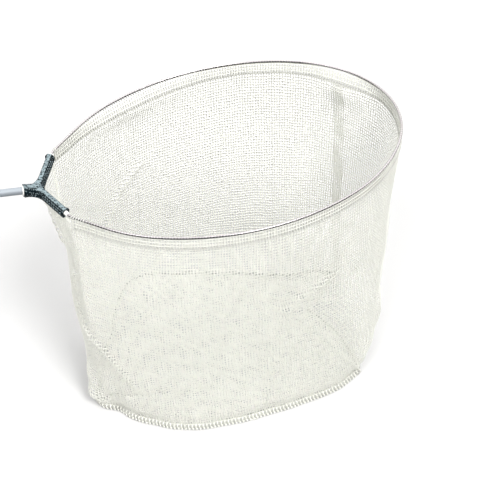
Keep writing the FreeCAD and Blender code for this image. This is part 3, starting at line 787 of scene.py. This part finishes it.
class SKIMMER_OT_hem(bpy.types.Operator):
    """Hem of netting looped over the rod, its rows of stitching and the whippings at its ends"""

    bl_idname = "skimmer.hem"
    bl_label = "Hem and Stitching"

    def execute(self, context):
        sizes = context.scene.skimmer_sizes
        t = hem_turns(sizes)[0]
        perimeter = rim_length(sizes)
        rim = rim_outline(sizes, t)
        rows = round(sizes.hem_depth / sizes.pitch_down)
        sheet, normals = wall_sheet(sizes, t, np.linspace(HEM_TOP, sizes.hem_depth, rows))
        weave = Weave()
        self.loops(sizes, weave, rim, sheet, normals)
        for side in (-1, 1):
            for row in range(rows):
                facing = normals[:, row] * side
                weave.add(placed(sheet[:, row] + facing * HEM_GAP)[None], facing[None],
                          sizes.thread * HEM_THREAD, sizes.thread_deep)
        hem = weave.piece("net_hem_panel", thread_finish(), "netting")
        stitches = self.stitches(sizes, t)
        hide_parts("net_hem")
        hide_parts("hem_thread")
        whipping = self.whippings(sizes, rim)
        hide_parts("hem_thread")
        return {"FINISHED"}

    def loops(self, sizes, weave, rim, sheet, normals):
        """Threads that run up one face of the hem, thinly over the rod, and down the other."""
        arc = np.linspace(-LOOP_BELOW, math.pi + LOOP_BELOW, LOOP_STEPS)
        out = rightward(np.gradient(rim, axis=0))
        centre = np.concatenate([rim, np.zeros((len(rim), 1))], -1)[:, None]
        over_facing = (-np.cos(arc)[None, :, None] * out[:, None]
                       + np.sin(arc)[None, :, None] * UP)
        over = centre + over_facing * (sizes.rod_width / 2 + LOOP_CLEAR)
        inner, outer = sheet - normals * HEM_GAP, sheet + normals * HEM_GAP
        points = np.concatenate([inner[:, ::-1], over, outer], 1)
        facing = np.concatenate([-normals[:, ::-1], over_facing, normals], 1)
        wide = np.full(points.shape[:2], sizes.thread * LOOP_THREAD)
        first = sheet.shape[1]
        wide[:, first:first + len(arc)] = LOOP_WIDTH
        weave.add(placed(points), facing, wide, sizes.thread_deep * LOOP_DEEP)

    def stitches(self, sizes, t):
        """Short stitches in two rows on both faces of the hem."""
        weave = Weave()
        lines, normals = wall_sheet(sizes, t, sizes.hem_depth - np.array(STITCH_ROWS))
        along = unit(np.gradient(lines, axis=0))
        for row in range(len(STITCH_ROWS)):
            for side in (-1, 1):
                paths = (lines[:, row, None] + along[:, row, None] * STITCH_STEPS[None, :, None]
                         + normals[:, row, None] * side * STITCH_HEIGHTS[None, :, None])
                weave.add_cord(placed(paths), STITCH_RADIUS)
        return weave.piece("hem_stitches", stitch_finish(), "stitching")

    def whippings(self, sizes, rim):
        """Thread wound on the rod where the hem ends, longer at the near mouth."""
        weave = Weave()
        for line, wound in ((rim, sizes.whipping), (rim[::-1], sizes.whipping / 3)):
            turns = round(wound / WHIPPING_PITCH)
            a = np.linspace(0, turns * math.tau, turns * WHIPPING_STEPS + 1)
            at = a / a[-1] * wound - WHIPPING_LEAD
            place = np.stack([np.interp(at, run_along(line), line[:, i]) for i in (0, 1)], -1)
            early = at < 0
            place[early] = line[0] + unit(line[1] - line[0]) * at[early][:, None]
            side = rightward(np.gradient(place, axis=0))
            spoke = side * np.cos(a)[:, None] + UP * np.sin(a)[:, None]
            reach = (sizes.rod_width / 2 + WHIPPING_CLEAR
                     + WHIPPING_UNEVEN * np.sin(WHIPPING_BEAT * a))
            path = np.concatenate([place, np.zeros((len(a), 1))], -1) + spoke * reach[:, None]
            weave.add(placed(path)[None], spoke[None], WHIPPING_WIDE, WHIPPING_DEEP)
        return weave.piece("hem_whipping", stitch_finish(), "stitching")


# Creases of the foot panel: start, end (in plan, from the hoop's middle) and height, in metres.
FOOT_CREASES = [
    ((0.197, 0.050), (0.120, 0.020), 0.010),
    ((-0.285, 0.060), (-0.250, -0.060), 0.012),
    ((-0.285, 0.060), (-0.150, 0.195), 0.014),
]
FOOT_CREASE_HALF = 0.007
FOOT_CREASE_FADE = 0.5  # share of its height that a crease loses by its end
FOOT_LOW, FOOT_DOME, FOOT_SPILL = 0.002, 0.004, 1.1
# Small unevenness of the foot: height, radians per metre, seed, waves, most along, most across.
FOOT_RIPPLE = (0.0012, 30, 11, 10, 3, 2.0)
# Threads of the foot wander: reach in metres, and waves along and across as radians per metre.
FOOT_WANDER = [(0.0016, 61, 97), (0.0012, 137, 211)]


def foot_surface(sizes, plan):
    """Points of the foot over places in plan."""
    turn = np.arctan2(plan[..., 1] / sizes.foot_width, plan[..., 0] / sizes.foot_length)
    edge = oval(sizes.foot_length, sizes.foot_width, 0, sizes.foot_square, turn)
    share = np.linalg.norm(plan, axis=-1) / np.linalg.norm(edge, axis=-1)
    z = -sizes.bag_depth + FOOT_LOW + foot_lift(turn) * np.clip(share, 0, FOOT_SPILL) ** 2
    z = z + FOOT_DOME * (1 - np.clip(share, 0, 1) ** 4)
    for start, end, high in FOOT_CREASES:
        a, b = np.array(start), np.array(end)
        run = b - a
        f = np.clip(((plan - a) @ run) / (run @ run), 0, 1)
        away = np.linalg.norm(plan - (a + f[..., None] * run), axis=-1)
        z = z + high * hill(away / FOOT_CREASE_HALF) * (1 - FOOT_CREASE_FADE * f)
    high, scale, seed, count, most_along, most_across = FOOT_RIPPLE
    x, y = scale * plan[..., 0], scale * plan[..., 1]
    z = z + high * waves(x, y, seed, count, most_along, most_across)
    return np.concatenate([plan, z[..., None]], -1)


def crossings(sizes, edge, axis, at):
    """Stretches inside the foot's outline along a line across it."""
    other = 1 - axis
    a, b = edge[:-1], edge[1:]
    crossing = (a[:, other] - at) * (b[:, other] - at) < 0
    a, b = a[crossing], b[crossing]
    f = (at - a[:, other]) / (b[:, other] - a[:, other])
    where = np.sort(a[:, axis] + f * (b[:, axis] - a[:, axis]))
    pairs = zip(where[0::2], where[1::2])
    return [(start, end) for start, end in pairs if end - start > 3 * sizes.pitch]


class SKIMMER_OT_foot(bpy.types.Operator):
    """Netting of the foot panel, with its creases"""

    bl_idname = "skimmer.foot"
    bl_label = "Foot Panel"

    def execute(self, context):
        sizes = context.scene.skimmer_sizes
        weave = Weave()
        t = np.linspace(0, math.tau, 721)
        edge = wall_point(sizes, t, np.ones_like(t))
        for axis in (0, 1):
            other = 1 - axis
            reach = np.abs(edge[:, other]).max() - sizes.pitch
            for at in np.arange(-reach, reach, sizes.pitch):
                for start, end in crossings(sizes, edge, axis, at):
                    self.thread(sizes, weave, axis, at, start, end)
        piece = weave.piece("net_foot", thread_finish(), "netting")
        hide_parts("foot_panel")
        return {"FINISHED"}

    def thread(self, sizes, weave, axis, at, start, end):
        """One thread across the foot, above those along the other axis or below them."""
        count = max(3, round((end - start) / sizes.pitch))
        run = np.linspace(start, end, count)
        wander = at
        for reach, along, across in FOOT_WANDER:
            wander = wander + reach * np.sin(along * run + across * at)
        line = np.stack([run, wander] if axis == 0 else [wander, run], -1)
        points = foot_surface(sizes, line)
        step = 0.001
        ahead = foot_surface(sizes, line + np.array([step, 0])) - points
        aside = foot_surface(sizes, line + np.array([0, step])) - points
        normal = unit(np.cross(ahead, aside))
        offset = normal * sizes.thread_deep * (LAYER if axis else -LAYER)
        weave.add(placed(points + offset)[None], normal[None], sizes.thread, sizes.thread_deep)


# The gathered band and the loops over it, in metres unless said otherwise.
BAND_STEPS, BAND_CORNERS = 1440, 12
BAND_HALF, BAND_PUFF = 0.0016, 0.7  # half its thickness, and the share that a gather adds
BAND_SWING = 0.0012  # gathers swing in and out
BAND_UP, BAND_LESS = 0.0006, 0.0008
BAND_SQUARE, LOOP_SQUARE = 0.6, 0.5
OVERLOCK_HALF, OVERLOCK_RADIUS, OVERLOCK_UP = 0.0036, 0.0016, 0.0004
OVERLOCK_SLOPE = 0.30  # share of a gather that a loop moves on


class SKIMMER_OT_foot_band(bpy.types.Operator):
    """Gathered band round the foot and the overlock thread wound over it"""

    bl_idname = "skimmer.foot_band"
    bl_label = "Foot Seam"

    def execute(self, context):
        sizes = context.scene.skimmer_sizes
        t = np.linspace(0, math.tau, BAND_STEPS, endpoint=False)
        base = wall_point(sizes, t, np.full_like(t, 1 - 1e-9))
        top = wall_point(sizes, t, np.full_like(t, 1 - sizes.seam_height / sizes.bag_depth))
        lean = top - base
        lean[:, 2] = 0
        step = np.roll(base, -1, 0) - np.roll(base, 1, 0)
        out = rightward(step)
        run = np.concatenate([[0], np.cumsum(np.linalg.norm(step, axis=1) / 2)])[:-1]
        perimeter = run[-1] + np.linalg.norm(base[0] - base[-1])
        ribs = round(perimeter / sizes.seam_rib)
        ripple = np.cos(run / perimeter * ribs * math.tau)
        thick = BAND_HALF * (1 + BAND_PUFF * ripple)
        half = sizes.seam_height / 2
        rings = []
        for a in np.linspace(0, math.tau, BAND_CORNERS, endpoint=False):
            wide, tall = rounded(math.cos(a), BAND_SQUARE), rounded(math.sin(a), BAND_SQUARE)
            swing = wide * thick + BAND_SWING * ripple
            ring = base + lean * (tall + 1) / 2 + out * swing[:, None]
            ring[:, 2] += half + BAND_UP + tall * (half - BAND_LESS)
            rings.append(ring)
        corners = placed(np.stack(rings, 1))
        a = np.arange(corners.shape[0] * corners.shape[1]).reshape(corners.shape[:2])
        b = np.roll(a, -1, 0)
        quads = np.stack([a, np.roll(a, -1, 1), np.roll(b, -1, 1), b], -1).reshape(-1, 4)
        # The band's darker colour is painted shade among its gathers.
        band = mesh_piece("foot_band", corners.reshape(-1, 3), [quads], shaded_gather_finish())
        overlock = self.overlock(sizes, base, lean, out, run, perimeter, ribs)
        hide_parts("foot_seam")
        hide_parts("foot_seam")
        return {"FINISHED"}

    def overlock(self, sizes, base, lean, out, run, perimeter, ribs):
        """Loops of thread over the band, one on each gather."""
        weave = Weave()
        at = np.arange(ribs) / ribs * perimeter
        place, tilt, facing = (np.stack([np.interp(at, run, v[:, i]) for i in range(3)], -1)
                               for v in (base, lean, out))
        along = np.roll(place, -1, 0) - place
        a = np.linspace(0, math.tau, 13)
        wide = OVERLOCK_HALF * rounded(np.cos(a), LOOP_SQUARE)
        tall = (1 + rounded(np.sin(a), LOOP_SQUARE)) / 2
        slope = OVERLOCK_SLOPE * a / math.tau
        paths = (place[:, None] + tilt[:, None] * tall[None, :, None]
                 + facing[:, None] * wide[None, :, None] + along[:, None] * slope[None, :, None])
        paths[..., 2] += tall * sizes.seam_height + OVERLOCK_UP
        weave.add_cord(placed(paths), OVERLOCK_RADIUS, roughly_up=(0.01, 0.02, 1.0))
        return weave.piece("foot_overlock", thread_finish(), "stitching")


# The side seam: where it starts and how far it moves on over the whole depth, in radians; its
# upright threads; the wall's radius there; how far inside the wall it lies; and its thread as a
# share of the wall's.
SEAM_START, SEAM_DRIFT = math.radians(38), -0.11
SEAM_COLUMNS, SEAM_RADIUS, SEAM_INSIDE, SEAM_THREAD = 5, 0.29, 0.0014, 0.74


class SKIMMER_OT_side_seam(bpy.types.Operator):
    """Lapped netting inside the far wall, where the wall's ends are joined"""

    bl_idname = "skimmer.side_seam"
    bl_label = "Side Seam"

    def execute(self, context):
        sizes = context.scene.skimmer_sizes
        top, low = sizes.hem_depth, sizes.bag_depth - sizes.seam_height
        rows = round((low - top) / sizes.pitch_down)
        s = np.linspace(top, low, rows) / sizes.bag_depth
        across = np.linspace(-0.5, 0.5, SEAM_COLUMNS) * sizes.lap_width
        tt = (SEAM_START + SEAM_DRIFT * s)[None, :] + across[:, None] / SEAM_RADIUS
        grid = wall_point(sizes, tt, np.broadcast_to(s[None, :], tt.shape))
        normals = normals_of(grid, closed=False)
        weave = Weave()
        knit(weave, sizes, placed(grid - normals * SEAM_INSIDE), normals, seed=sizes.seed + 20,
             thread=SEAM_THREAD * sizes.thread)
        piece = weave.piece("side_seam_lap", thread_finish(), "netting")
        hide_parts("side_seam")
        return {"FINISHED"}


# The studio, in metres, degrees and strengths. The camera looks down, turned to the hoop's length.
CAMERA_DOWN, CAMERA_TURN = math.radians(53), math.radians(16.56)
CAMERA_PLACE, CAMERA_LENS, CAMERA_SENSOR = (-0.4742, -1.7421, 2.0591), 100.8, 36
FLOOR_HALF, FLOOR_BELOW = 6.0, 0.0005
LAMP_AIM = (0, 0, -0.3)
KEY_PLACE, FILL_PLACE, BACK_PLACE = (0.95, 0.75, 0.0), (-1.0, 0.5, 0.0), (0.9, 1.0, 2.6)
KEY_STRENGTH, FILL_STRENGTH, BACK_STRENGTH = 3.0, 1.6, 1.2
KEY_SPREAD, FILL_SPREAD, BACK_SPREAD = 18, 22, 40
ROOM_STRENGTH, MIRRORED_BRIGHT, MIRRORED_DARK = 0.36, 4.6, 0.04
BACKDROP = (0.95, 0.95, 0.95, 1)
FLOOR_DARK_FROM, FLOOR_DARK_TO = -0.5, 0.6
ROOM_DARK_FROM, ROOM_DARK_TO = 0.18, 0.42


def near_side(nodes, links, vector, low, high):
    """Mask that grows from 0 to 1 towards the side of the room before the net."""
    along = add_node(nodes, "ShaderNodeVectorMath",
                     {1: (-math.sin(CAMERA_TURN), -math.cos(CAMERA_TURN), 0)},
                     operation="DOT_PRODUCT")
    mask = add_node(nodes, "ShaderNodeMapRange", {"From Min": low, "From Max": high},
                    interpolation_type="SMOOTHSTEP")
    links.new(vector, along.inputs[0])
    links.new(along.outputs["Value"], mask.inputs["Value"])
    return mask.outputs[0]


class SKIMMER_OT_studio(bpy.types.Operator):
    """Pale floor, soft studio light and the photograph's camera"""

    bl_idname = "skimmer.studio"
    bl_label = "Studio"

    def execute(self, context):
        centre = hoop_centre()
        self.floor(context, centre)
        self.camera(context, centre)
        self.lights(context, centre)
        self.world(context)
        return {"FINISHED"}

    def floor(self, context, centre):
        """Level floor just below the foot seam."""
        mesh = bpy.data.meshes.new("floor")
        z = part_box("foot_seam")[0].z - FLOOR_BELOW
        corners = [(centre.x + x * FLOOR_HALF, centre.y + y * FLOOR_HALF, z)
                   for x, y in ((-1, -1), (1, -1), (1, 1), (-1, 1))]
        mesh.from_pydata(corners, [], [(0, 1, 2, 3)])
        mesh.materials.append(self.floor_finish(context.scene.skimmer_colours))
        floor = bpy.data.objects.new("floor", mesh)
        context.scene.collection.objects.link(floor)

    def floor_finish(self, colours):
        """Pale paper whose part before the net shows in metal as a dark painted reflection, like an
        unlit room.
        """
        material = finish("studio_floor", colours.floor, 0.7, mottle=0.01, spread=0.02,
                          coarse=3.0, fine=200.0, gloss=0.1)
        nodes, links = material.node_tree.nodes, material.node_tree.links
        ray = nodes.new("ShaderNodeLightPath")
        # Dark painted reflection of the floor's near side, seen only by glossy rays.
        dark = add_node(nodes, "ShaderNodeBsdfDiffuse", {"Color": (*colours.floor_painted_reflection, 1)})
        mix = nodes.new("ShaderNodeMixShader")
        near = near_side(nodes, links, nodes.new("ShaderNodeNewGeometry").outputs["Position"],
                         FLOOR_DARK_FROM, FLOOR_DARK_TO)
        mirrored = add_node(nodes, "ShaderNodeMath", operation="MULTIPLY")
        links.new(ray.outputs["Is Glossy Ray"], mirrored.inputs[0])
        links.new(near, mirrored.inputs[1])
        links.new(mirrored.outputs[0], mix.inputs[0])
        links.new(nodes["Principled BSDF"].outputs[0], mix.inputs[1])
        links.new(dark.outputs[0], mix.inputs[2])
        links.new(mix.outputs[0], nodes["Material Output"].inputs["Surface"])
        return material

    def camera(self, context, centre):
        """The photograph's view, from above and beside the hoop."""
        down, turn = CAMERA_DOWN, CAMERA_TURN
        ahead = Vector((math.sin(turn) * math.cos(down), math.cos(turn) * math.cos(down),
                        -math.sin(down)))
        right = Vector((math.cos(turn), -math.sin(turn), 0))
        up = right.cross(ahead)
        data = bpy.data.cameras.new("camera")
        data.sensor_width = CAMERA_SENSOR
        data.lens = CAMERA_LENS
        data.clip_end = 50
        camera = bpy.data.objects.new("camera", data)
        camera.matrix_world = Matrix.Translation(centre + Vector(CAMERA_PLACE)) @ Matrix(
            (right, up, -ahead)).transposed().to_4x4()
        context.scene.collection.objects.link(camera)
        context.scene.camera = camera

    def lights(self, context, centre):
        """Two soft far lights beside the camera and a softer one from behind."""
        camera = context.scene.camera.matrix_world
        middle = centre + Vector(LAMP_AIM)
        lamps = (("key", camera @ Vector(KEY_PLACE), KEY_STRENGTH, KEY_SPREAD),
                 ("fill", camera @ Vector(FILL_PLACE), FILL_STRENGTH, FILL_SPREAD),
                 ("back", middle + Vector(BACK_PLACE), BACK_STRENGTH, BACK_SPREAD))
        for name, place, strength, spread in lamps:
            data = bpy.data.lights.new(name, "SUN")
            data.energy = strength
            data.angle = math.radians(spread)
            lamp = bpy.data.objects.new(name, data)
            lamp.location = place
            lamp.rotation_euler = (middle - place).to_track_quat("-Z", "Y").to_euler()
            context.scene.collection.objects.link(lamp)

    def world(self, context):
        """Even white light; in mirrors, bright ahead and above and dark behind the camera."""
        world = bpy.data.worlds.new("studio")
        world.use_nodes = True
        nodes, links = world.node_tree.nodes, world.node_tree.links
        even = nodes["Background"]
        even.inputs["Color"].default_value = (1, 1, 1, 1)
        even.inputs["Strength"].default_value = ROOM_STRENGTH
        place = nodes.new("ShaderNodeTexCoord")
        near = near_side(nodes, links, place.outputs["Generated"], ROOM_DARK_FROM, ROOM_DARK_TO)
        ceiling = add_node(nodes, "ShaderNodeMapRange",
                           {"To Min": MIRRORED_BRIGHT, "To Max": MIRRORED_DARK})
        mirrored = nodes.new("ShaderNodeBackground")
        backdrop = add_node(nodes, "ShaderNodeBackground", {"Color": BACKDROP})
        ray = nodes.new("ShaderNodeLightPath")
        mix, seen = nodes.new("ShaderNodeMixShader"), nodes.new("ShaderNodeMixShader")
        links.new(near, ceiling.inputs["Value"])
        links.new(ceiling.outputs[0], mirrored.inputs["Strength"])
        links.new(ray.outputs["Is Glossy Ray"], mix.inputs[0])
        links.new(even.outputs[0], mix.inputs[1])
        links.new(mirrored.outputs[0], mix.inputs[2])
        links.new(ray.outputs["Is Camera Ray"], seen.inputs[0])
        links.new(mix.outputs[0], seen.inputs[1])
        links.new(backdrop.outputs[0], seen.inputs[2])
        links.new(seen.outputs[0], nodes["World Output"].inputs["Surface"])
        context.scene.world = world
        context.scene.view_settings.view_transform = "Standard"


STEPS = (SKIMMER_OT_yoke, SKIMMER_OT_small_parts, SKIMMER_OT_rod, SKIMMER_OT_pole,
         SKIMMER_OT_hem, SKIMMER_OT_wall, SKIMMER_OT_side_seam, SKIMMER_OT_foot_band,
         SKIMMER_OT_foot, SKIMMER_OT_studio)


class SKIMMER_PT_panel(bpy.types.Panel):
    """Sizes, colours and steps of the skimmer net"""

    bl_idname = "SKIMMER_PT_panel"
    bl_label = "Skimmer Net"
    bl_space_type = "VIEW_3D"
    bl_region_type = "UI"
    bl_category = "Skimmer"

    def draw(self, context):
        layout = self.layout
        for group in (context.scene.skimmer_sizes, context.scene.skimmer_colours):
            for name in group.bl_rna.properties.keys():
                if name not in ("rna_type", "name"):
                    layout.prop(group, name)
        for step in STEPS:
            layout.operator(step.bl_idname)


CLASSES = (SkimmerSizes, SkimmerColours, *STEPS, SKIMMER_PT_panel)


def register():
    for one in CLASSES:
        bpy.utils.register_class(one)
    bpy.types.Scene.skimmer_sizes = PointerProperty(type=SkimmerSizes)
    bpy.types.Scene.skimmer_colours = PointerProperty(type=SkimmerColours)


def unregister():
    del bpy.types.Scene.skimmer_colours
    del bpy.types.Scene.skimmer_sizes
    for one in reversed(CLASSES):
        bpy.utils.unregister_class(one)


def main():
    """Dresses the part and builds the studio."""
    register()
    bpy.ops.skimmer.yoke()
    bpy.ops.skimmer.small_parts()
    bpy.ops.skimmer.rod()
    bpy.ops.skimmer.pole()
    bpy.ops.skimmer.hem()
    bpy.ops.skimmer.wall()
    bpy.ops.skimmer.side_seam()
    bpy.ops.skimmer.foot_band()
    bpy.ops.skimmer.foot()
    bpy.ops.skimmer.studio()


if __name__ == "__main__":
    main()
